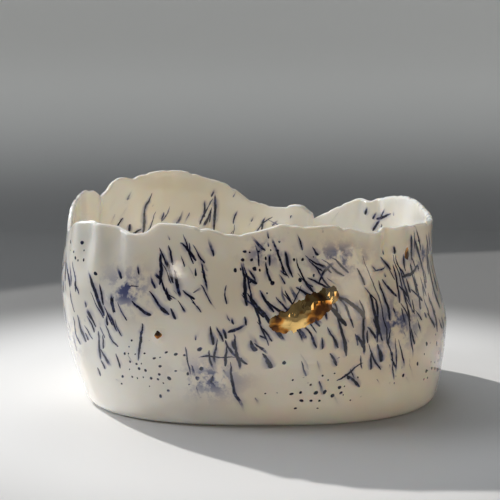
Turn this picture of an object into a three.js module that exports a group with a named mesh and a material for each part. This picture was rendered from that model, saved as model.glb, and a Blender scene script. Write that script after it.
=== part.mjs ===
// A hand-built porcelain flower pot: one thin slab wrapped round a flat floor, its two ends lapped at the
// back, with a torn, wavy rim that rises to a hump behind. The pot is one fired piece, open at the top.
// Millimetres, +Z up. The origin is on the ground under the middle of the pot.
// Angles are degrees round the pot: 0 is the right end, 90 the back, 180 the left end, 270 the front.

import * as THREE from "three";
import { ParametricGeometry } from "three/addons/geometries/ParametricGeometry.js";
import { mergeVertices } from "three/addons/utils/BufferGeometryUtils.js";

const { clamp, degToRad, euclideanModulo, lerp, smoothstep } = THREE.MathUtils;

// Plan of the wall at its belly
const HALF_WIDTH = 75;
const HALF_DEPTH = 61.4;
const SQUARENESS = 2.6; // 2 would be an ellipse, more gives fuller corners

// Section of the wall, at the pot's two ends and at the middle of its front and back
const BELLY_HEIGHT = { left: 46, middle: 37, right: 28 };
const FOOT_TUCK = { left: 10.2, middle: 3.4, right: 3.4 }; // how far it draws in from belly to ground
const RIM_LEAN = { left: 2.9, middle: 4.2, right: 6.3 }; // how far it draws in above the belly
const LEAN_TOP = { left: 72, middle: 65, right: 58 }; // the height above which it rises straight
const FOOT_WALL = 3.2;
const RIM_WALL = 2.2;
const FLOOR = 4;
const HEEL_RADIUS = 4;
const FLOOR_FILLET = 7;

// The rim: an even height, with swells and dips that start, peak and end at these angles
const RIM_HEIGHT = 69.5;
const RIM_SWELLS = [
  { from: -25, peak: 22, to: 56, rise: 5.4 }, // right crest
  { from: 41, peak: 45.5, to: 51, rise: 1.5 },
  { from: 67, peak: 79, to: 89, rise: -1.9 }, // saddle
  { from: 84, peak: 125, to: 175, rise: 15 }, // hump
  { from: 90, peak: 101, to: 114, rise: 2.4 },
  { from: 139, peak: 147.5, to: 156.5, rise: 3.2 },
  { from: 154, peak: 167, to: 203, rise: 7.5 }, // left ear
  { from: 184, peak: 197, to: 209, rise: -3.5 },
  { from: 203, peak: 214, to: 230, rise: 1.6 }, // front, from the left end to the right
  { from: 224, peak: 231.5, to: 239, rise: -1.7 },
  { from: 232.5, peak: 239, to: 262, rise: 2.2 },
  { from: 253, peak: 264, to: 274, rise: -1.3 },
  { from: 271, peak: 279, to: 292, rise: 1.9 },
  { from: 281, peak: 295, to: 305, rise: 1.4 },
  { from: 302, peak: 309, to: 315, rise: -1.5 },
];

// Flutes pinched into the wall below the rim: outwards is positive, and each fades out over its reach
const FLUTES = [
  { from: 33, peak: 37, to: 41, push: 1.1, reach: 24 },
  { from: 41, peak: 45, to: 49, push: 1.0, reach: 20 },
  { from: 155, peak: 161.5, to: 168, push: -2.2, reach: 34 }, // fold between the hump and the left ear
  { from: 203, peak: 208.5, to: 214, push: 0.7, reach: 26 },
  { from: 209, peak: 215, to: 220, push: -0.7, reach: 26 },
  { from: 214.5, peak: 219.5, to: 224, push: 1.2, reach: 28 },
  { from: 219, peak: 225, to: 230, push: -1.2, reach: 24 },
  { from: 224, peak: 231, to: 238, push: 1.4, reach: 20 },
  { from: 235, peak: 244, to: 256, push: -1.0, reach: 22 },
  { from: 253, peak: 264, to: 274, push: 0.9, reach: 20 },
  { from: 271, peak: 280, to: 290, push: -0.8, reach: 20 },
  { from: 296, peak: 303, to: 308, push: -1.1, reach: 22 },
  { from: 303, peak: 309, to: 314, push: 1.5, reach: 20 },
  { from: 311, peak: 315, to: 319, push: -1.4, reach: 22 },
  { from: 316, peak: 319.5, to: 324, push: 1.1, reach: 22 },
];

// The lap: the end of the slab that comes from the left lies inside the end that comes from the right
const LAP_STEP = 1.8;
const LAP_EDGE = 1.5; // degrees that the pressed edge takes to step in
const LAP_BLEND = 22; // degrees over which the slab comes back to its place
const LAP_INSIDE_AT = 63;
const LAP_OUTSIDE_AT = 73;
const LAP_FADE = { foot: 12, full: 40 }; // pressed flat low down

// The notch at the inside edge of the lap: the rim slopes down to it on one side, degrees long, and the
// slab on the other side has a rounded corner
const LAP_NOTCH = { depth: 6.9, slope: 12, corner: 10 };

// Hand-made waver of the whole wall
const WAVERS = [
  { lobes: 5, start: 40, twist: 0.6, depth: 0.35 },
  { lobes: 8, start: 15, twist: -0.9, depth: 0.25 },
];

// Facets
const ROUND_STEPS = 144;
const HEEL_STEPS = 3;
const OUTER_STEPS = 10;
const LIP_STEPS = 4;
const INNER_STEPS = 9;
const FILLET_STEPS = 3;
const MERGE_DISTANCE = 1e-4;

// Signed angle from one direction to another, the short way round
function turnBetween(start, end) {
  return euclideanModulo(end - start + 180, 360) - 180;
}

// 1 at the peak of a stretch, falling smoothly to 0 at its two ends
function swell(angle, { from, peak, to }) {
  const offset = turnBetween(peak, angle);
  const reach = offset < 0 ? peak - from : to - peak;
  return Math.abs(offset) < reach ? Math.cos((offset / reach) * (Math.PI / 2)) ** 2 : 0;
}

// A size at this angle, from its values at the two ends of the pot and midway between them
function acrossPot(angle, { left, middle, right }) {
  const towardsEnd = Math.cos(degToRad(angle));
  return lerp(middle, towardsEnd < 0 ? left : right, towardsEnd ** 2);
}

function lapNotch(angle) {
  const past = turnBetween(LAP_INSIDE_AT, angle);
  const left = clamp(past < 0 ? 1 + past / LAP_NOTCH.slope : 1 - past / LAP_NOTCH.corner, 0, 1);
  return LAP_NOTCH.depth * (past < 0 ? left : 1 - Math.sqrt(1 - left ** 2));
}

function rimHeight(angle) {
  const even = RIM_HEIGHT - lapNotch(angle);
  return RIM_SWELLS.reduce((height, part) => height + part.rise * swell(angle, part), even);
}

function planRadius(angle) {
  const across = Math.abs(Math.cos(degToRad(angle))) / HALF_WIDTH;
  const deep = Math.abs(Math.sin(degToRad(angle))) / HALF_DEPTH;
  return (across ** SQUARENESS + deep ** SQUARENESS) ** (-1 / SQUARENESS);
}

function flutePush(angle, z) {
  const below = rimHeight(angle) - z;
  const pushAt = (part) => part.push * swell(angle, part) * (1 - smoothstep(below, 0, part.reach));
  return FLUTES.reduce((push, part) => push + pushAt(part), 0);
}

function waver(angle, z) {
  const waveAt = ({ lobes, start, twist, depth }) =>
    depth * Math.sin(degToRad(lobes * (angle - start) + twist * z));
  return WAVERS.reduce((push, part) => push + waveAt(part), 0) * smoothstep(z, 0, RIM_HEIGHT / 2);
}

// The step at a slab's end, and the slow return of the slab behind it
function lapStep(angle, at, z) {
  const past = turnBetween(at, angle);
  const step = clamp(past / LAP_EDGE, 0, 1) * (1 - smoothstep(past, LAP_EDGE, LAP_BLEND));
  return LAP_STEP * step * smoothstep(z, LAP_FADE.foot, LAP_FADE.full);
}

// Radius of the wall's middle skin before the lap and the thickness are taken off
function wallRadius(angle, z) {
  const belly = acrossPot(angle, BELLY_HEIGHT);
  const tuck = acrossPot(angle, FOOT_TUCK) * Math.max(0, 1 - z / belly) ** 2;
  const lean = acrossPot(angle, RIM_LEAN) * smoothstep(z, belly, acrossPot(angle, LEAN_TOP));
  return planRadius(angle) - tuck - lean + flutePush(angle, z) + waver(angle, z);
}

function outerRadius(angle, z) {
  return wallRadius(angle, z) - lapStep(angle, LAP_OUTSIDE_AT, z);
}

function innerRadius(angle, z) {
  const share = clamp((z - FLOOR) / (lipCentre(angle) - FLOOR), 0, 1);
  return wallRadius(angle, z) - lapStep(angle, LAP_INSIDE_AT, z) - lerp(FOOT_WALL, RIM_WALL, share);
}

function lipCentre(angle) {
  return rimHeight(angle) - RIM_WALL / 2;
}

// The closed section, from the middle of the underside round to the middle of the floor.
// Each function gives the radius and the height at a share of its own stretch
function heelPoint(angle, share) {
  const turn = (share * Math.PI) / 2;
  const radius = outerRadius(angle, HEEL_RADIUS) - HEEL_RADIUS * (1 - Math.sin(turn));
  return [radius, HEEL_RADIUS * (1 - Math.cos(turn))];
}

function outerPoint(angle, share) {
  const z = lerp(HEEL_RADIUS, lipCentre(angle), share);
  return [outerRadius(angle, z), z];
}

function lipPoint(angle, share) {
  const turn = share * Math.PI;
  const centre = lipCentre(angle);
  const outside = outerRadius(angle, centre);
  const inside = innerRadius(angle, centre);
  const radius = (outside + inside) / 2 + ((outside - inside) / 2) * Math.cos(turn);
  return [radius, centre + (RIM_WALL / 2) * Math.sin(turn)];
}

function innerPoint(angle, share) {
  const z = lerp(lipCentre(angle), FLOOR + FLOOR_FILLET, share);
  return [innerRadius(angle, z), z];
}

function filletPoint(angle, share) {
  const turn = (share * Math.PI) / 2;
  const radius = innerRadius(angle, FLOOR + FLOOR_FILLET) - FLOOR_FILLET * (1 - Math.cos(turn));
  return [radius, FLOOR + FLOOR_FILLET * (1 - Math.sin(turn))];
}

// The stations of a stretch after its first point, which the stretch before it already has
function stretch(point, steps) {
  return Array.from({ length: steps }, (_, i) => (angle) => point(angle, (i + 1) / steps));
}

const SECTION = [
  () => [0, 0],
  (angle) => heelPoint(angle, 0),
  ...stretch(heelPoint, HEEL_STEPS),
  ...stretch(outerPoint, OUTER_STEPS),
  ...stretch(lipPoint, LIP_STEPS),
  ...stretch(innerPoint, INNER_STEPS),
  ...stretch(filletPoint, FILLET_STEPS),
  () => [0, FLOOR],
];

function potSurface(round, along, target) {
  const angle = 360 * round;
  const station = SECTION[Math.round(along * (SECTION.length - 1))];
  const [radius, z] = station(angle);
  target.set(radius * Math.cos(degToRad(angle)), radius * Math.sin(degToRad(angle)), z);
}

function potGeometry() {
  const surface = new ParametricGeometry(potSurface, ROUND_STEPS, SECTION.length - 1);
  surface.deleteAttribute("normal");
  surface.deleteAttribute("uv");
  const closed = mergeVertices(surface, MERGE_DISTANCE);
  closed.computeBoundingBox();
  const middle = closed.boundingBox.getCenter(new THREE.Vector3());
  closed.translate(-middle.x, -middle.y, 0);
  closed.computeVertexNormals();
  return closed;
}

const porcelain = new THREE.MeshStandardMaterial({ color: 0xe9e2d4, roughness: 0.28, metalness: 0 });

const pot = new THREE.Mesh(potGeometry(), porcelain);
pot.name = "pot";

const flowerPot = new THREE.Group();
flowerPot.add(pot);

export default flowerPot;
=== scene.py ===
"""A hand-built porcelain flower pot: thin wavy wall, cobalt brush marks under a clear glaze, a patch of gold.

Metres, +Z up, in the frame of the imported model. Angles are degrees round the pot: 0 is the right end,
90 the back, 180 the left end, 270 the front.
"""

import math

import bmesh
import bpy
import numpy as np
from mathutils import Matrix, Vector


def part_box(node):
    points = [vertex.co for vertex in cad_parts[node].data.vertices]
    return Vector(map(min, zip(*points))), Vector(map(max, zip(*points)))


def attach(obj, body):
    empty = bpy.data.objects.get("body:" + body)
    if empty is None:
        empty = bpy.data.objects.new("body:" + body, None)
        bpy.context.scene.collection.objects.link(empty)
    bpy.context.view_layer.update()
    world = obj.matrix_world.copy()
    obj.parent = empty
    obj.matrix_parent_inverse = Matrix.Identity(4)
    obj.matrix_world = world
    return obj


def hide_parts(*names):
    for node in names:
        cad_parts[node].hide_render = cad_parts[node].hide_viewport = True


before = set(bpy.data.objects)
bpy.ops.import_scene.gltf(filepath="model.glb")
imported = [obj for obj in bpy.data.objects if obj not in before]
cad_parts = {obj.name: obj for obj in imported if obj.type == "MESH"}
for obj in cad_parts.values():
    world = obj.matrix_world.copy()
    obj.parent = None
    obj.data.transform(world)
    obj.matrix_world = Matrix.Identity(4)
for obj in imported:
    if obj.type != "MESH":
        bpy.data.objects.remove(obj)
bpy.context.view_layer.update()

MM = 0.001

# Plan of the wall at its belly
HALF_WIDTH = 75 * MM
HALF_DEPTH = 61.4 * MM
SQUARENESS = 2.6

# Section of the wall at the left end, midway and at the right end
BELLY_HEIGHT = (46 * MM, 37 * MM, 28 * MM)
FOOT_TUCK = (10.2 * MM, 3.4 * MM, 3.4 * MM)
RIM_LEAN = (2.9 * MM, 4.2 * MM, 6.3 * MM)
LEAN_TOP = (72 * MM, 65 * MM, 58 * MM)
FOOT_WALL = 3.2 * MM
RIM_WALL = 2.2 * MM
FLOOR = 4 * MM
HEEL_RADIUS = 4 * MM
FLOOR_FILLET = 7 * MM

# The rim: an even height, with swells and dips that start, peak and end at these angles, and their rise
RIM_HEIGHT = 69.5 * MM
RIM_SWELLS = (
    (-25, 22, 56, 5.4 * MM),
    (41, 45.5, 51, 1.5 * MM),
    (67, 79, 89, -1.9 * MM),
    (84, 125, 175, 15 * MM),
    (90, 101, 114, 2.4 * MM),
    (139, 147.5, 156.5, 3.2 * MM),
    (154, 167, 203, 7.5 * MM),
    (184, 197, 209, -3.5 * MM),
    (203, 214, 230, 1.6 * MM),
    (224, 231.5, 239, -1.7 * MM),
    (232.5, 239, 262, 2.2 * MM),
    (253, 264, 274, -1.3 * MM),
    (271, 279, 292, 1.9 * MM),
    (281, 295, 305, 1.4 * MM),
    (302, 309, 315, -1.5 * MM),
)

# Flutes pinched into the wall below the rim: angles as above, push outwards, and reach down the wall
FLUTES = (
    (33, 37, 41, 1.1 * MM, 24 * MM),
    (41, 45, 49, 1.0 * MM, 20 * MM),
    (155, 161.5, 168, -2.2 * MM, 34 * MM),
    (203, 208.5, 214, 0.7 * MM, 26 * MM),
    (209, 215, 220, -0.7 * MM, 26 * MM),
    (214.5, 219.5, 224, 1.2 * MM, 28 * MM),
    (219, 225, 230, -1.2 * MM, 24 * MM),
    (224, 231, 238, 1.4 * MM, 20 * MM),
    (235, 244, 256, -1.0 * MM, 22 * MM),
    (253, 264, 274, 0.9 * MM, 20 * MM),
    (271, 280, 290, -0.8 * MM, 20 * MM),
    (296, 303, 308, -1.1 * MM, 22 * MM),
    (303, 309, 314, 1.5 * MM, 20 * MM),
    (311, 315, 319, -1.4 * MM, 22 * MM),
    (316, 319.5, 324, 1.1 * MM, 22 * MM),
)

# The lap of the slab's two ends, at the back
LAP_STEP = 1.8 * MM
LAP_EDGE = 1.5
LAP_BLEND = 22
LAP_INSIDE_AT = 63
LAP_OUTSIDE_AT = 73
LAP_FOOT = 12 * MM
LAP_FULL = 40 * MM
NOTCH_DEPTH = 6.9 * MM
NOTCH_SLOPE = 12
NOTCH_CORNER = 10

# Fine nicks of the torn rim: how many waves go round the pot and where each starts, and their depth
NICK_WAVES = ((29, 0.4), (43, 1.9), (61, 2.6), (83, 0.9))
NICK_DEPTH = 0.8 * MM

# Hand-made waver of the wall: lobes round the pot, start angle, twist in degrees a metre, and depth
WAVERS = (
    (5, 40, 600, 0.35 * MM),
    (8, 15, -900, 0.25 * MM),
)

# The mesh: steps round the pot, and along each stretch of the section
ROUND_STEPS = 480
STRETCH_STEPS = (4, 6, 46, 10, 36, 8, 4)
MERGE_DISTANCE = 1e-6

# Where the brush went: angle, height, spread round the pot in degrees, spread in height, and how thickly
OUTER_BLADES = (
    (198, 42 * MM, 13, 16 * MM, 0.6),
    (222, 34 * MM, 12, 13 * MM, 0.65),
    (243, 52 * MM, 13, 11 * MM, 0.75),
    (263, 28 * MM, 12, 12 * MM, 0.8),
    (283, 48 * MM, 16, 14 * MM, 1.0),
    (304, 33 * MM, 13, 14 * MM, 0.95),
    (324, 48 * MM, 15, 14 * MM, 1.1),
    (345, 36 * MM, 14, 16 * MM, 0.9),
    (12, 46 * MM, 18, 14 * MM, 0.7),
    (46, 36 * MM, 18, 14 * MM, 0.6),
    (110, 48 * MM, 22, 15 * MM, 0.65),
    (138, 36 * MM, 18, 14 * MM, 0.75),
    (170, 46 * MM, 14, 13 * MM, 0.6),
)
OUTER_SEEDS = (
    (212, 56 * MM, 10, 8 * MM, 0.6),
    (238, 22 * MM, 12, 10 * MM, 0.8),
    (272, 58 * MM, 14, 7 * MM, 0.85),
    (292, 16 * MM, 14, 8 * MM, 0.8),
    (332, 20 * MM, 12, 8 * MM, 0.7),
    (90, 30 * MM, 24, 12 * MM, 0.5),
)
OUTER_WASHES = (
    (230, 48 * MM, 7, 7 * MM, 0.95),
    (204, 26 * MM, 7, 7 * MM, 0.8),
    (256, 18 * MM, 9, 6 * MM, 0.95),
    (274, 62 * MM, 7, 4 * MM, 0.9),
    (297, 59 * MM, 9, 5 * MM, 1.0),
    (314, 36 * MM, 10, 9 * MM, 0.9),
    (331, 58 * MM, 8, 5 * MM, 0.9),
    (342, 22 * MM, 8, 8 * MM, 0.8),
    (30, 50 * MM, 12, 8 * MM, 0.8),
    (140, 40 * MM, 14, 10 * MM, 0.9),
)
INNER_BLADES = (
    (84, 58 * MM, 12, 9 * MM, 0.45),
    (106, 64 * MM, 12, 10 * MM, 0.5),
    (136, 62 * MM, 13, 11 * MM, 0.45),
    (38, 60 * MM, 13, 9 * MM, 0.45),
    (260, 48 * MM, 30, 14 * MM, 0.4),
)
GOLD_PATCHES = (
    (277.5, 38 * MM, 3, 4 * MM, 0.95),
    (280, 38.5 * MM, 3.5, 5 * MM, 1.0),
    (282.5, 39.5 * MM, 3.5, 5.5 * MM, 1.0),
    (285, 41 * MM, 3.5, 6 * MM, 1.0),
    (287.5, 42.5 * MM, 3.5, 6 * MM, 1.0),
    (290, 44 * MM, 3.5, 5.5 * MM, 1.0),
    (292.5, 45.5 * MM, 3, 4.5 * MM, 1.0),
    (295, 47.5 * MM, 2.5, 3.5 * MM, 0.9),
    (322, 59 * MM, 1.8, 3 * MM, 0.9),
    (240, 33 * MM, 1.5, 2 * MM, 0.85),
)

# The kinds of stroke: seed, turn in degrees, length, spacing, half width, lean, bend and how many of them
BRUSHES = (
    (0.11, -24, 23 * MM, 7 * MM, 0.9 * MM, 0.4, 0.5, 1.0),
    (0.37, -8, 19 * MM, 6.5 * MM, 0.8 * MM, 0.4, 0.5, 0.9),
    (0.59, -44, 13 * MM, 5.5 * MM, 0.75 * MM, 0.5, 0.5, 0.9),
    (0.83, 66, 21 * MM, 8 * MM, 0.6 * MM, 0.4, 0.5, 0.5),
    (0.21, -15, 8 * MM, 4.5 * MM, 0.65 * MM, 0.6, 0.5, 0.9),
    (0.47, -18, 50 * MM, 14 * MM, 0.6 * MM, 0.3, 0.5, 0.95),
    (0.71, -34, 12 * MM, 3.2 * MM, 0.5 * MM, 0.2, 0.3, 0.6),
)

# A stroke, drawn by chance between two ends: its reach each way as a share of its cell, how hard the brush is
# pressed, and how much ink it holds. Then how much the press eases along it, where its edge starts and ends,
# and how far its blue bleeds, in half widths
STROKE_REACH = (0.2, 0.47)
STROKE_PRESS = (0.5, 1.0)
STROKE_LOAD = (0.6, 1.0)
STROKE_EASE = 0.28
STROKE_EDGE = (0.45, 1.15)
STROKE_BLEED = 3.8
THINNEST = 1e-6

# Where a stroke fades out at the sides of its column, and how softly strokes thin out
STROKE_BORDER = (0.42, 0.5)
STROKE_GATE = 0.12

# Colours
CREAM = (0.84, 0.805, 0.735, 1)
WHITE = (0.88, 0.865, 0.825, 1)
WASH = (0.2, 0.225, 0.39, 1)
BLUE = (0.05, 0.064, 0.2, 1)
INK = (0.009, 0.01, 0.03, 1)
GOLD = (1.0, 0.66, 0.24, 1)
COPPER = (0.72, 0.3, 0.05, 1)
UMBER = (0.16, 0.055, 0.012, 1)

# How far the brush's map is slid along for the inside of the wall, so that it differs from the outside
INSIDE_SHIFT = 271 * MM

# How the strokes sway and waver: waves to the metre, and how far each pushes
SWAYS = ((16, 22 * MM), (110, 2.4 * MM), (700, 0.35 * MM))
SEED_SPACING = 3.2 * MM
SEED_SIZE = 0.85 * MM
SEED_SHARES = (0.4, 1.0)
SEED_EDGE = (0.6, 1.1)
SEED_SCATTER = 0.75
SEED_GATE = 0.1

# Waves to the metre of what varies over the ink, the glaze and the gold
THIN_INK_WAVES = 420
CLOUD_WAVES = 150
BLEED_WAVES = 190
MOTTLE_WAVES = 45
GLAZE_WAVES = 90
RIPPLE_WAVES = 70
GOLD_EDGE_WAVES = 230
BURNISH_WAVES = 130
CRUMPLE_WAVES = 96

# Where each rise starts and ends as its noise or its ink grows, and its two values if they aren't 0 and 1
THIN_INK = (0.3, 0.5, 0.6, 1.0)
CLOUD = (0.42, 0.6)
BLEED = (0.35, 0.6, 0.2, 0.85)
MOTTLE = (0.3, 0.7)
DEEP_WASH = (0.55, 1.0, 0.0, 0.7)
BLUE_INK = (0.0, 0.5)
DARK_INK = (0.25, 0.75)
GOLD_EDGE = (0.5, 0.515)
GOLD_RAGGED = 0.6
COPPER_RISE = (0.36, 0.46)
GOLD_RISE = (0.44, 0.54)
GLAZE_POOLS = (0.3, 0.7)

# Clear glaze over translucent porcelain
GLAZE = {
    "IOR": 1.52,
    "Subsurface Weight": 0.85,
    "Subsurface Radius": (1.0, 0.81, 0.62),
    "Subsurface Scale": 4 * MM,
    "Coat Weight": 0.8,
    "Coat Roughness": 0.04,
}
GLAZE_ROUGHNESS = (0.03, 0.06)
CRUMPLE_RELIEF = 6.0
RELIEF_STRENGTH = 0.35
RELIEF_DEPTH = 1.2 * MM

# The camera, fitted to the pot's outlines in the photograph
CAMERA_PLACE = (-1.6 * MM, -396.3 * MM, 107.4 * MM)
CAMERA_TILT = 7.5
CAMERA_LENS = 72
CAMERA_SENSOR = 36
CAMERA_NEAR = 10 * MM

# Low sun from behind and the left, and panels: name, place, size, power and colour
LIGHT_TARGET = (0, 0, 0.04)
SUN_PLACE = (-0.6, 0.58, 0.7)
SUN_WIDTH = 1.5
SUN_POWER = 2.8
SUN_COLOUR = (1, 0.97, 0.93)
PANELS = (
    ("sky", (-0.2, 0.35, 1.1), 0.9, 3.5, (0.88, 0.94, 1)),
    ("side", (-0.8, 0.02, 0.3), 0.35, 6.5, (0.95, 0.97, 1)),
    ("room_left", (-0.34, -0.6, 0.3), 0.1, 0.16, (1, 0.9, 0.78)),
    ("room_right", (0.4, -0.55, 0.2), 0.3, 0.3, (1, 0.88, 0.72)),
)
WORLD_COLOUR = (0.6, 0.6, 0.6, 1)
WORLD_STRENGTH = 0.07

# The floor, and the wall that curves up out of it. Painted shade: the floor darkens further out and the wall
# is dark in front, standing in for an unlit room
BACKDROP_FLOOR = 0.6
BACKDROP_BEND = 0.2
BACKDROP_TOP = 0.42
BACKDROP_STEPS = 12
BACKDROP_ROUND = 128
FLOOR_RADIUS = 0.7
FLOOR_SIDES = 96
STAGE_ROUGHNESS = 0.45
STAGE_SHINE = 0.3
# Painted shade: the floor goes from pale to dark between these distances from the pot's middle
FLOOR_SHADE_FADE = (0.11, 0.22)
FLOOR_PALE = (0.8, 0.8, 0.8, 1)
FLOOR_PAINTED_SHADE = (0.2, 0.2, 0.2, 1)
WALL_FADE = (0.0, 0.16)
# Painted shade: the wall is near black in front of the pot, so the glaze and gold reflect darkness there, and
# pale behind
WALL_SHADE_TURN = (-0.3, 0.5)
WALL_FRONT_PAINTED_SHADE = (0.07, 0.07, 0.068, 1)
WALL_BACK = (0.86, 0.86, 0.83, 1)


# Shape of the pot, for arrays of angles in degrees and heights in metres


def smooth(value, low, high):
    """0 below low, 1 above high, with a smooth rise between them."""
    share = np.clip((value - low) / (high - low), 0, 1)
    return share * share * (3 - 2 * share)


def turn_between(start, end):
    """Signed angle from one direction to another, the short way round."""
    return (end - start + 180) % 360 - 180


def swell(angle, begin, peak, end):
    """1 at the peak of a stretch of the rim, falling smoothly to 0 at its two ends."""
    offset = turn_between(peak, angle)
    reach = np.where(offset < 0, peak - begin, end - peak)
    return np.where(np.abs(offset) < reach, np.cos(offset / reach * math.pi / 2) ** 2, 0)


def across_pot(angle, sizes):
    """A size at this angle, from its values at the left end, midway and at the right end."""
    left, middle, right = sizes
    towards_end = np.cos(np.radians(angle))
    return middle + (np.where(towards_end < 0, left, right) - middle) * towards_end ** 2


def lap_notch(angle):
    """How far the rim drops at the lap: a slope on one side of the notch, a round corner on the other."""
    past = turn_between(LAP_INSIDE_AT, angle)
    slope = np.clip(1 + past / NOTCH_SLOPE, 0, 1)
    corner = 1 - np.sqrt(1 - np.clip(1 - past / NOTCH_CORNER, 0, 1) ** 2)
    return NOTCH_DEPTH * np.where(past < 0, slope, corner)


def rim_nicks(angle):
    """The fine nicks of a torn edge, always downwards."""
    turn = np.radians(angle)
    ragged = sum(np.sin(count * turn + start) for count, start in NICK_WAVES) / len(NICK_WAVES)
    return NICK_DEPTH * np.clip(ragged, 0, 1)


def rim_height(angle):
    even = RIM_HEIGHT - lap_notch(angle) - rim_nicks(angle)
    return even + sum(rise * swell(angle, *span) for *span, rise in RIM_SWELLS)


def lip_centre(angle):
    return rim_height(angle) - RIM_WALL / 2


def plan_radius(angle):
    across = np.abs(np.cos(np.radians(angle))) / HALF_WIDTH
    deep = np.abs(np.sin(np.radians(angle))) / HALF_DEPTH
    return (across ** SQUARENESS + deep ** SQUARENESS) ** (-1 / SQUARENESS)


def flute_push(angle, z):
    below = rim_height(angle) - z
    return sum(push * swell(angle, *span) * (1 - smooth(below, 0, reach)) for *span, push, reach in FLUTES)


def waver(angle, z):
    push = sum(
        depth * np.sin(np.radians(lobes * (angle - start) + twist * z))
        for lobes, start, twist, depth in WAVERS
    )
    return push * smooth(z, 0, RIM_HEIGHT / 2)


def lap_step(angle, at, z):
    """The step at a slab's end, and the slow return of the slab behind it."""
    past = turn_between(at, angle)
    step = np.clip(past / LAP_EDGE, 0, 1) * (1 - smooth(past, LAP_EDGE, LAP_BLEND))
    return LAP_STEP * step * smooth(z, LAP_FOOT, LAP_FULL)


def wall_radius(angle, z):
    belly = across_pot(angle, BELLY_HEIGHT)
    tuck = across_pot(angle, FOOT_TUCK) * np.clip(1 - z / belly, 0, 1) ** 2
    lean = across_pot(angle, RIM_LEAN) * smooth(z, belly, across_pot(angle, LEAN_TOP))
    return plan_radius(angle) - tuck - lean + flute_push(angle, z) + waver(angle, z)


def outer_radius(angle, z):
    return wall_radius(angle, z) - lap_step(angle, LAP_OUTSIDE_AT, z)


def inner_radius(angle, z):
    share = np.clip((z - FLOOR) / (lip_centre(angle) - FLOOR), 0, 1)
    thickness = FOOT_WALL + (RIM_WALL - FOOT_WALL) * share
    return wall_radius(angle, z) - lap_step(angle, LAP_INSIDE_AT, z) - thickness


# The stretches of the closed section, from the middle of the underside round to the middle of the floor.
# Each gives the radius and the height at a share of its length


def underside(angle, share):
    return share * (outer_radius(angle, HEEL_RADIUS) - HEEL_RADIUS), 0 * angle


def heel(angle, share):
    turn = share * math.pi / 2
    radius = outer_radius(angle, HEEL_RADIUS) - HEEL_RADIUS * (1 - np.sin(turn))
    return radius, HEEL_RADIUS * (1 - np.cos(turn))


def outer_wall(angle, share):
    z = HEEL_RADIUS + share * (lip_centre(angle) - HEEL_RADIUS)
    return outer_radius(angle, z), z


def lip(angle, share):
    turn = share * math.pi
    centre = lip_centre(angle)
    outside = outer_radius(angle, centre)
    inside = inner_radius(angle, centre)
    radius = (outside + inside) / 2 + (outside - inside) / 2 * np.cos(turn)
    return radius, centre + RIM_WALL / 2 * np.sin(turn)


def inner_wall(angle, share):
    z = lip_centre(angle) + share * (FLOOR + FLOOR_FILLET - lip_centre(angle))
    return inner_radius(angle, z), z


def floor_fillet(angle, share):
    turn = share * math.pi / 2
    radius = inner_radius(angle, FLOOR + FLOOR_FILLET) - FLOOR_FILLET * (1 - np.cos(turn))
    return radius, FLOOR + FLOOR_FILLET * (1 - np.sin(turn))


def pot_floor(angle, share):
    edge, _ = floor_fillet(angle, np.ones_like(angle))
    return (1 - share) * edge, FLOOR + 0 * angle


STRETCHES = (underside, heel, outer_wall, lip, inner_wall, floor_fillet, pot_floor)
HEEL_START = STRETCHES.index(heel)
LIP_TOP = STRETCHES.index(lip) + 0.5
LIP_BLEND = 0.1
FILLET_MIDDLE = STRETCHES.index(floor_fillet) + 0.5


def section_place(angle, along):
    """Radius and height at a place along the section: whole numbers are the starts of its stretches."""
    radius = np.zeros_like(angle)
    z = np.zeros_like(angle)
    which = np.clip(np.floor(along), 0, len(STRETCHES) - 1)
    for number, stretch in enumerate(STRETCHES):
        here = which == number
        radius[here], z[here] = stretch(angle[here], along[here] - number)
    return radius, z


# Making the mesh


def lathe_section(bm, along_layer):
    """Spins the section at the right end of the pot into a round bowl, which is shaped by hand afterwards."""
    stops = [n + k / steps for n, steps in enumerate(STRETCH_STEPS) for k in range(steps)]
    stops = np.array(stops + [len(STRETCHES)], float)
    radius, z = section_place(np.zeros_like(stops), stops)
    chain = []
    for r, height, along in zip(radius, z, stops):
        vert = bm.verts.new((r, 0, height))
        vert[along_layer] = along
        chain.append(vert)
    edges = [bm.edges.new(pair) for pair in zip(chain, chain[1:])]
    bmesh.ops.spin(
        bm,
        geom=chain + edges,
        cent=(0, 0, 0),
        axis=(0, 0, 1),
        angle=math.tau,
        steps=ROUND_STEPS,
        use_merge=True,
    )
    bmesh.ops.remove_doubles(bm, verts=bm.verts, dist=MERGE_DISTANCE)
    bmesh.ops.recalc_face_normals(bm, faces=bm.faces)


def fit_span(values, low, high):
    """Draws the values in to fill the span: a fine mesh bulges a little past the facets of the frame."""
    share = (values - values.min()) / (values.max() - values.min())
    return low + share * (high - low)


def shape_by_hand(bm, along_layer):
    """Moves every point of the round bowl to its place on the hand-built wall. Returns the angles."""
    angle = np.degrees([math.atan2(v.co.y, v.co.x) for v in bm.verts])
    along = np.array([v[along_layer] for v in bm.verts])
    radius, z = section_place(angle, along)
    x = radius * np.cos(np.radians(angle))
    y = radius * np.sin(np.radians(angle))
    low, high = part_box("pot")
    x = fit_span(x, low.x, high.x)
    y = fit_span(y, low.y, high.y)
    for vert, place in zip(bm.verts, zip(x, y, z)):
        vert.co = place
    return angle


def belly_arc():
    """Length round the belly from the lap, for each whole degree past it."""
    angle = np.radians(np.arange(361) + LAP_OUTSIDE_AT)
    radius = plan_radius(np.degrees(angle))
    step = np.hypot(np.diff(radius * np.cos(angle)), np.diff(radius * np.sin(angle)))
    return np.concatenate([[0], np.cumsum(step)])


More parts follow.
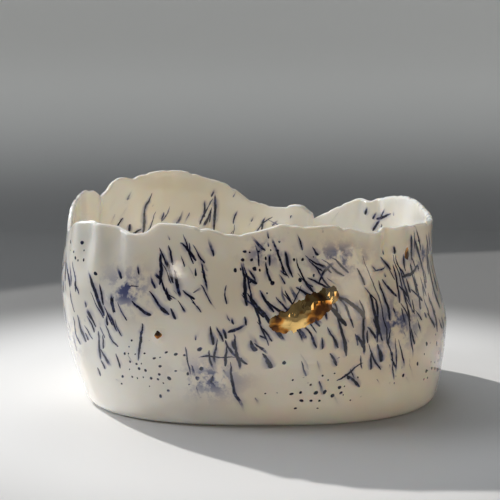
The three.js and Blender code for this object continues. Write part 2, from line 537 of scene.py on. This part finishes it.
def unroll(mesh, angle):
    """A map of the wall laid out flat, in metres: across is round the belly from the lap, up is height."""
    corner_vert = np.zeros(len(mesh.loops), np.int32)
    mesh.loops.foreach_get("vertex_index", corner_vert)
    face_size = np.zeros(len(mesh.polygons), np.int32)
    mesh.polygons.foreach_get("loop_total", face_size)
    centre = np.zeros(3 * len(mesh.polygons), np.float32)
    mesh.polygons.foreach_get("center", centre)
    place = np.zeros(3 * len(mesh.vertices), np.float32)
    mesh.vertices.foreach_get("co", place)
    x, y, z = place.reshape(-1, 3)[corner_vert].T
    face_angle = np.degrees(np.arctan2(centre[1::3], centre[0::3]))
    middle = np.repeat((face_angle - LAP_OUTSIDE_AT) % 360, face_size)
    turned = turn_between(middle, angle[corner_vert] - LAP_OUTSIDE_AT)
    past = middle + np.where(np.hypot(x, y) > MM, turned, 0)
    arc = belly_arc()
    length = np.interp(past % 360, np.arange(361), arc) + past // 360 * arc[-1]
    layer = mesh.uv_layers.new(name="unrolled")
    layer.data.foreach_set("uv", np.column_stack([length, z]).astype(np.float32).ravel())


def soft_spots(angle, z, spots):
    """How thickly the brush went over each point, 0 to 1."""
    amount = np.zeros_like(z)
    for at, height, wide, tall, thick in spots:
        away = (turn_between(at, angle) / wide) ** 2 + ((z - height) / tall) ** 2
        amount = np.maximum(amount, thick * np.exp(-away))
    return amount


def paint_masks(mesh, angle):
    """Soft masks on the points of the wall: where blades, seeds, washes and gold are."""
    count = len(mesh.vertices)
    z = np.array([v.co.z for v in mesh.vertices])
    along = np.zeros(count, np.float32)
    mesh.attributes["along"].data.foreach_get("value", along)
    outside = (along > HEEL_START) & (along < LIP_TOP)
    inside = (along >= LIP_TOP) & (along < FILLET_MIDDLE)
    masks = {
        "blades": np.where(outside, soft_spots(angle, z, OUTER_BLADES), 0)
        + np.where(inside, soft_spots(angle, z, INNER_BLADES), 0),
        "seeds": np.where(outside, soft_spots(angle, z, OUTER_SEEDS), 0),
        "washes": np.where(outside, soft_spots(angle, z, OUTER_WASHES), 0),
        "gold": np.where(outside, soft_spots(angle, z, GOLD_PATCHES), 0),
    }
    for name, values in masks.items():
        layer = mesh.attributes.new(name, "FLOAT", "POINT")
        layer.data.foreach_set("value", values.astype(np.float32))


def make_pot():
    mesh = bpy.data.meshes.new("hand_built_pot")
    bm = bmesh.new()
    along_layer = bm.verts.layers.float.new("along")
    lathe_section(bm, along_layer)
    angle = shape_by_hand(bm, along_layer)
    for face in bm.faces:
        face.smooth = True
    bm.to_mesh(mesh)
    bm.free()
    unroll(mesh, angle)
    paint_masks(mesh, angle)
    pot = bpy.data.objects.new("hand_built_pot", mesh)
    bpy.context.scene.collection.objects.link(pot)
    return pot


# Node helpers


def feed(tree, socket, value):
    """Links a socket to another, or sets its plain value."""
    if isinstance(value, bpy.types.NodeSocket):
        tree.links.new(value, socket)
    else:
        socket.default_value = value


def add_node(tree, kind, inputs=None, **settings):
    node = tree.nodes.new(kind)
    for name, value in settings.items():
        setattr(node, name, value)
    for name, value in (inputs or {}).items():
        feed(tree, node.inputs[name], value)
    return node


def calc(tree, operation, *values, clamp=False):
    node = add_node(tree, "ShaderNodeMath", operation=operation, use_clamp=clamp)
    for socket, value in zip(node.inputs, values):
        feed(tree, socket, value)
    return node.outputs[0]


def vector_calc(tree, operation, *values):
    node = add_node(tree, "ShaderNodeVectorMath", operation=operation)
    for socket, value in zip(node.inputs, values):
        feed(tree, socket, value)
    return node.outputs["Vector"]


def ramp(tree, value, low, high, to_low=0.0, to_high=1.0):
    """A smooth rise from to_low to to_high as the value goes from low to high."""
    node = add_node(tree, "ShaderNodeMapRange", interpolation_type="SMOOTHSTEP")
    for name, given in (
        ("Value", value),
        ("From Min", low),
        ("From Max", high),
        ("To Min", to_low),
        ("To Max", to_high),
    ):
        feed(tree, node.inputs[name], given)
    return node.outputs["Result"]


def between(tree, share, low, high):
    """Goes evenly from low to high as the share goes from 0 to 1."""
    return calc(tree, "MULTIPLY_ADD", share, high - low, low)


def mix_colour(tree, share, first, second):
    """The Mix node has sockets of the same names for each kind of value, so its colours go by number."""
    node = add_node(tree, "ShaderNodeMix", data_type="RGBA")
    for number, value in ((0, share), (6, first), (7, second)):
        feed(tree, node.inputs[number], value)
    return node.outputs[2]


def noise(tree, place, scale, detail=1.0, roughness=0.5, dimensions="2D"):
    inputs = {"Vector": place, "Scale": scale, "Detail": detail, "Roughness": roughness}
    return add_node(tree, "ShaderNodeTexNoise", inputs, noise_dimensions=dimensions)


def mask(tree, name):
    return add_node(tree, "ShaderNodeAttribute", attribute_name=name).outputs["Fac"]


def new_group(name, inputs, outputs):
    """An empty node group with these sockets, and its two end nodes."""
    group = bpy.data.node_groups.new(name, "ShaderNodeTree")
    for socket, kind in inputs:
        group.interface.new_socket(name=socket, in_out="INPUT", socket_type=kind)
    for socket, kind in outputs:
        group.interface.new_socket(name=socket, in_out="OUTPUT", socket_type=kind)
    return group, group.nodes.new("NodeGroupInput").outputs, group.nodes.new("NodeGroupOutput").inputs


def place_group(tree, group, inputs):
    node = add_node(tree, "ShaderNodeGroup", node_tree=group)
    for name, value in inputs.items():
        feed(tree, node.inputs[name], value)
    return node.outputs


# Brush marks


def chance(tree, *numbers):
    """Three even random numbers, always the same for the same two given numbers."""
    place = add_node(tree, "ShaderNodeCombineXYZ", dict(zip("XY", numbers))).outputs[0]
    drawn = add_node(tree, "ShaderNodeTexWhiteNoise", {"Vector": place}, noise_dimensions="2D")
    return add_node(tree, "ShaderNodeSeparateColor", {"Color": drawn.outputs["Color"]}).outputs


def brush_cells(tree, given):
    """Columns along the way the brush moves, each cut at its own height into long cells, one for each stroke.

    Gives the place in the cell, counted from its middle in cells, and two draws of chance for the cell.
    """
    turn = {"Vector": given["Place"], "Angle": given["Turn"]}
    turned = add_node(tree, "ShaderNodeVectorRotate", turn, rotation_type="Z_AXIS").outputs[0]
    place = add_node(tree, "ShaderNodeSeparateXYZ", {"Vector": turned}).outputs
    across = calc(tree, "DIVIDE", place["X"], given["Spacing"])
    column = calc(tree, "FLOOR", across)
    slide = chance(tree, column, given["Seed"])["Red"]
    up = calc(tree, "ADD", calc(tree, "DIVIDE", place["Y"], given["Length"]), slide)
    row = calc(tree, "FLOOR", up)
    local_across = calc(tree, "SUBTRACT", calc(tree, "SUBTRACT", across, column), 0.5)
    local_up = calc(tree, "SUBTRACT", calc(tree, "SUBTRACT", up, row), 0.5)
    first = chance(tree, calc(tree, "ADD", column, given["Seed"]), row)
    second = chance(tree, row, calc(tree, "SUBTRACT", column, given["Seed"]))
    return local_across, local_up, first, second


def brush_strokes_group():
    """One stroke in each cell: round-ended, leaning and bent at random, with a halo where the blue bled."""
    number = "NodeSocketFloat"
    names = ("Seed", "Turn", "Length", "Spacing", "Width", "Lean", "Bend", "Amount")
    tree, given, out = new_group(
        "brush_strokes",
        [("Place", "NodeSocketVector")] + [(name, number) for name in names],
        [("Ink", number), ("Halo", number)],
    )
    local_across, local_up, first, second = brush_cells(tree, given)
    across = calc(tree, "MULTIPLY", local_across, given["Spacing"])
    up = calc(tree, "MULTIPLY", local_up, given["Length"])
    lean = calc(tree, "MULTIPLY", calc(tree, "SUBTRACT", first["Red"], 0.5), given["Lean"])
    bend = calc(tree, "MULTIPLY", calc(tree, "SUBTRACT", first["Green"], 0.5), given["Bend"])
    bow = calc(tree, "MULTIPLY", calc(tree, "MULTIPLY", bend, local_up), up)
    middle = calc(tree, "MULTIPLY_ADD", lean, up, bow)
    away = calc(tree, "ABSOLUTE", calc(tree, "SUBTRACT", across, middle))
    reach = between(tree, first["Blue"], *STROKE_REACH)
    share = calc(tree, "DIVIDE", local_up, reach)
    taper = calc(tree, "SUBTRACT", 1.0, calc(tree, "POWER", calc(tree, "ABSOLUTE", share), 3.0), clamp=True)
    press = calc(tree, "MULTIPLY_ADD", share, -STROKE_EASE, between(tree, second["Red"], *STROKE_PRESS))
    swelled = calc(tree, "MULTIPLY", calc(tree, "POWER", taper, 0.5), press)
    half = calc(tree, "MULTIPLY", swelled, given["Width"])
    edge_start, edge_end = STROKE_EDGE
    inner = calc(tree, "MULTIPLY", half, edge_start)
    outer = calc(tree, "MULTIPLY_ADD", half, edge_end, THINNEST)
    core = ramp(tree, away, inner, outer, 1.0, 0.0)
    bled = ramp(tree, away, 0.0, calc(tree, "MULTIPLY_ADD", half, STROKE_BLEED, THINNEST), 1.0, 0.0)
    gate = ramp(tree, given["Amount"], second["Green"], calc(tree, "ADD", second["Green"], STROKE_GATE))
    border = ramp(tree, calc(tree, "ABSOLUTE", local_across), *STROKE_BORDER, 1.0, 0.0)
    load = between(tree, second["Blue"], *STROKE_LOAD)
    weight = calc(tree, "MULTIPLY", calc(tree, "MULTIPLY", gate, border), load)
    feed(tree, out["Ink"], calc(tree, "MULTIPLY", core, weight))
    feed(tree, out["Halo"], calc(tree, "MULTIPLY", bled, weight))
    return tree


def seed_dots_group():
    """Dots of ink flicked from the brush, one at most in each small cell."""
    number = "NodeSocketFloat"
    tree, given, out = new_group(
        "seed_dots",
        [("Place", "NodeSocketVector"), ("Spacing", number), ("Size", number), ("Amount", number)],
        [("Ink", number)],
    )
    place = add_node(tree, "ShaderNodeVectorMath", operation="SCALE")
    feed(tree, place.inputs[0], given["Place"])
    feed(tree, place.inputs["Scale"], calc(tree, "DIVIDE", 1.0, given["Spacing"]))
    settings = {"Vector": place.outputs["Vector"], "Scale": 1.0, "Randomness": SEED_SCATTER}
    cell = add_node(tree, "ShaderNodeTexVoronoi", settings, voronoi_dimensions="2D", feature="F1").outputs
    drawn = add_node(tree, "ShaderNodeSeparateColor", {"Color": cell["Color"]}).outputs
    away = calc(tree, "MULTIPLY", cell["Distance"], given["Spacing"])
    radius = calc(tree, "MULTIPLY", given["Size"], between(tree, drawn["Red"], *SEED_SHARES))
    edge = [calc(tree, "MULTIPLY", radius, share) for share in SEED_EDGE]
    dot = ramp(tree, away, *edge, 1.0, 0.0)
    gate = ramp(tree, given["Amount"], drawn["Green"], calc(tree, "ADD", drawn["Green"], SEED_GATE))
    feed(tree, out["Ink"], calc(tree, "MULTIPLY", dot, gate))
    return tree


def hand_waver(tree, flat):
    """The flat map, swayed widely as grass in the wind, and pushed about finely as a hand wavers."""
    place = flat
    for waves, amount in SWAYS:
        push = vector_calc(tree, "SUBTRACT", noise(tree, flat, waves).outputs["Color"], (0.5, 0.5, 0.5))
        place = vector_calc(tree, "ADD", place, vector_calc(tree, "MULTIPLY", push, (amount, amount, 0)))
    return place


def brush_work(tree, flat):
    """Ink, and the soft blue round it."""
    place = hand_waver(tree, flat)
    strokes = brush_strokes_group()
    blades = mask(tree, "blades")
    ink = 0.0
    halo = 0.0
    for seed, turn, length, spacing, width, lean, bend, amount in BRUSHES:
        stroke = place_group(tree, strokes, {
            "Place": place,
            "Seed": seed,
            "Turn": math.radians(turn),
            "Length": length,
            "Spacing": spacing,
            "Width": width,
            "Lean": lean,
            "Bend": bend,
            "Amount": calc(tree, "MULTIPLY", blades, amount),
        })
        ink = calc(tree, "MAXIMUM", ink, stroke["Ink"])
        halo = calc(tree, "MAXIMUM", halo, stroke["Halo"])
    dots = place_group(tree, seed_dots_group(), {
        "Place": place,
        "Spacing": SEED_SPACING,
        "Size": SEED_SIZE,
        "Amount": mask(tree, "seeds"),
    })
    ink = calc(tree, "MAXIMUM", ink, dots["Ink"])
    thin = ramp(tree, noise(tree, flat, THIN_INK_WAVES, 2).outputs["Fac"], *THIN_INK)
    ink = calc(tree, "MULTIPLY", ink, thin)
    cloud = ramp(tree, noise(tree, flat, CLOUD_WAVES, 4, 0.65).outputs["Fac"], *CLOUD)
    wash = calc(tree, "MULTIPLY", mask(tree, "washes"), cloud)
    bleed = ramp(tree, noise(tree, flat, BLEED_WAVES).outputs["Fac"], *BLEED)
    soft = calc(tree, "MAXIMUM", calc(tree, "MULTIPLY", halo, bleed), wash)
    return ink, soft


def porcelain():
    material = bpy.data.materials.new("painted_porcelain")
    material.use_nodes = True
    tree = material.node_tree
    shader = tree.nodes["Principled BSDF"]
    for name, value in GLAZE.items():
        shader.inputs[name].default_value = value

    flat = add_node(tree, "ShaderNodeUVMap", uv_map="unrolled").outputs["UV"]
    solid = add_node(tree, "ShaderNodeTexCoord").outputs["Object"]
    inside = ramp(tree, mask(tree, "along"), LIP_TOP - LIP_BLEND, LIP_TOP + LIP_BLEND)
    shift = add_node(tree, "ShaderNodeCombineXYZ", {"X": calc(tree, "MULTIPLY", inside, INSIDE_SHIFT)})
    flat = vector_calc(tree, "ADD", flat, shift.outputs[0])

    ink, soft = brush_work(tree, flat)
    mottle = ramp(tree, noise(tree, solid, MOTTLE_WAVES, 2, 0.6, "3D").outputs["Fac"], *MOTTLE)
    colour = mix_colour(tree, mottle, CREAM, WHITE)
    colour = mix_colour(tree, soft, colour, WASH)
    colour = mix_colour(tree, ramp(tree, soft, *DEEP_WASH), colour, BLUE)
    colour = mix_colour(tree, ramp(tree, ink, *BLUE_INK), colour, BLUE)
    colour = mix_colour(tree, ramp(tree, ink, *DARK_INK), colour, INK)

    # Gold lustre with a ragged edge, brighter and browner in places
    ragged = noise(tree, flat, GOLD_EDGE_WAVES, 3, 0.6).outputs["Fac"]
    spread = calc(tree, "MULTIPLY_ADD", calc(tree, "SUBTRACT", ragged, 0.5), GOLD_RAGGED, mask(tree, "gold"))
    gold = ramp(tree, spread, *GOLD_EDGE)
    burnish = noise(tree, flat, BURNISH_WAVES, 2).outputs["Fac"]
    lustre = mix_colour(tree, ramp(tree, burnish, *COPPER_RISE), UMBER, COPPER)
    lustre = mix_colour(tree, ramp(tree, burnish, *GOLD_RISE), lustre, GOLD)
    colour = mix_colour(tree, gold, colour, lustre)

    pooled = noise(tree, solid, GLAZE_WAVES, dimensions="3D").outputs["Fac"]
    glaze = ramp(tree, pooled, *GLAZE_POOLS, *GLAZE_ROUGHNESS)
    feed(tree, shader.inputs["Base Color"], colour)
    feed(tree, shader.inputs["Roughness"], glaze)
    feed(tree, shader.inputs["Metallic"], gold)

    ripple = noise(tree, solid, RIPPLE_WAVES, dimensions="3D").outputs["Fac"]
    crumple = calc(tree, "MULTIPLY", noise(tree, flat, CRUMPLE_WAVES).outputs["Fac"], mask(tree, "gold"))
    height = calc(tree, "MULTIPLY_ADD", crumple, CRUMPLE_RELIEF, ripple)
    relief = {"Height": height, "Strength": RELIEF_STRENGTH, "Distance": RELIEF_DEPTH}
    bump = add_node(tree, "ShaderNodeBump", relief)
    feed(tree, shader.inputs["Normal"], bump.outputs["Normal"])
    return material


# Stage


def make_camera():
    data = bpy.data.cameras.new("camera")
    data.lens = CAMERA_LENS
    data.sensor_width = CAMERA_SENSOR
    data.clip_start = CAMERA_NEAR
    camera = bpy.data.objects.new("camera", data)
    camera.location = CAMERA_PLACE
    camera.rotation_euler = (math.radians(90 - CAMERA_TILT), 0, 0)
    bpy.context.scene.collection.objects.link(camera)
    bpy.context.scene.camera = camera


def add_light(data, place, power, colour):
    """Puts a light in its place, shining on the pot."""
    data.energy = power
    data.color = colour
    light = bpy.data.objects.new(data.name, data)
    light.location = place
    light.rotation_euler = (Vector(LIGHT_TARGET) - Vector(place)).to_track_quat("-Z", "Y").to_euler()
    bpy.context.scene.collection.objects.link(light)


def stage_paint_with_shade():
    """Pale where the pot stands, with painted shade darker further out; grey up the wall, with painted shade
    darker in front.
    """
    material = bpy.data.materials.new("stage")
    material.use_nodes = True
    tree = material.node_tree
    shader = tree.nodes["Principled BSDF"]
    shader.inputs["Roughness"].default_value = STAGE_ROUGHNESS
    shader.inputs["Specular IOR Level"].default_value = STAGE_SHINE
    place = add_node(tree, "ShaderNodeTexCoord").outputs["Object"]
    out = add_node(tree, "ShaderNodeVectorMath", operation="LENGTH")
    feed(tree, out.inputs[0], place)
    split = add_node(tree, "ShaderNodeSeparateXYZ", {"Vector": place}).outputs
    # Painted shade: the floor darker further out, and the wall dark in front of the pot
    colour = mix_colour(tree, ramp(tree, out.outputs["Value"], *FLOOR_SHADE_FADE), FLOOR_PALE, FLOOR_PAINTED_SHADE)
    wall = mix_colour(tree, ramp(tree, split["Y"], *WALL_SHADE_TURN), WALL_FRONT_PAINTED_SHADE, WALL_BACK)
    colour = mix_colour(tree, ramp(tree, split["Z"], *WALL_FADE), colour, wall)
    feed(tree, shader.inputs["Base Color"], colour)
    return material


def show_stage(name, mesh, material):
    mesh.materials.append(material)
    piece = bpy.data.objects.new(name, mesh)
    bpy.context.scene.collection.objects.link(piece)


def make_floor(material):
    mesh = bpy.data.meshes.new("floor")
    bm = bmesh.new()
    bmesh.ops.create_circle(bm, cap_ends=True, segments=FLOOR_SIDES, radius=FLOOR_RADIUS)
    bm.to_mesh(mesh)
    bm.free()
    show_stage("floor", mesh, material)


def make_backdrop(material):
    """A low round wall that curves up out of the floor, all round the stage."""
    bend = [math.radians(90 * step / BACKDROP_STEPS) for step in range(BACKDROP_STEPS + 1)]
    profile = [
        (BACKDROP_FLOOR + BACKDROP_BEND * math.sin(turn), BACKDROP_BEND * (1 - math.cos(turn)))
        for turn in bend
    ]
    profile.append((BACKDROP_FLOOR + BACKDROP_BEND, BACKDROP_TOP))
    mesh = bpy.data.meshes.new("backdrop")
    bm = bmesh.new()
    chain = [bm.verts.new((radius, 0, z)) for radius, z in profile]
    edges = [bm.edges.new(pair) for pair in zip(chain, chain[1:])]
    bmesh.ops.spin(
        bm,
        geom=chain + edges,
        cent=(0, 0, 0),
        axis=(0, 0, 1),
        angle=math.tau,
        steps=BACKDROP_ROUND,
        use_merge=True,
    )
    for face in bm.faces:
        face.smooth = True
    bm.to_mesh(mesh)
    bm.free()
    show_stage("backdrop", mesh, material)


def light_studio():
    world = bpy.data.worlds.new("studio")
    bpy.context.scene.world = world
    world.use_nodes = True
    background = world.node_tree.nodes["Background"]
    background.inputs["Color"].default_value = WORLD_COLOUR
    background.inputs["Strength"].default_value = WORLD_STRENGTH
    sun = bpy.data.lights.new("sun", "SUN")
    sun.angle = math.radians(SUN_WIDTH)
    add_light(sun, SUN_PLACE, SUN_POWER, SUN_COLOUR)
    for name, place, size, power, colour in PANELS:
        panel = bpy.data.lights.new(name, "AREA")
        panel.size = size
        add_light(panel, place, power, colour)


bpy.context.scene.view_settings.view_transform = "Standard"
pot = make_pot()
pot.data.materials.append(porcelain())
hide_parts("pot")
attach(pot, "root")

make_camera()
paint = stage_paint_with_shade()
make_floor(paint)
make_backdrop(paint)
light_studio()
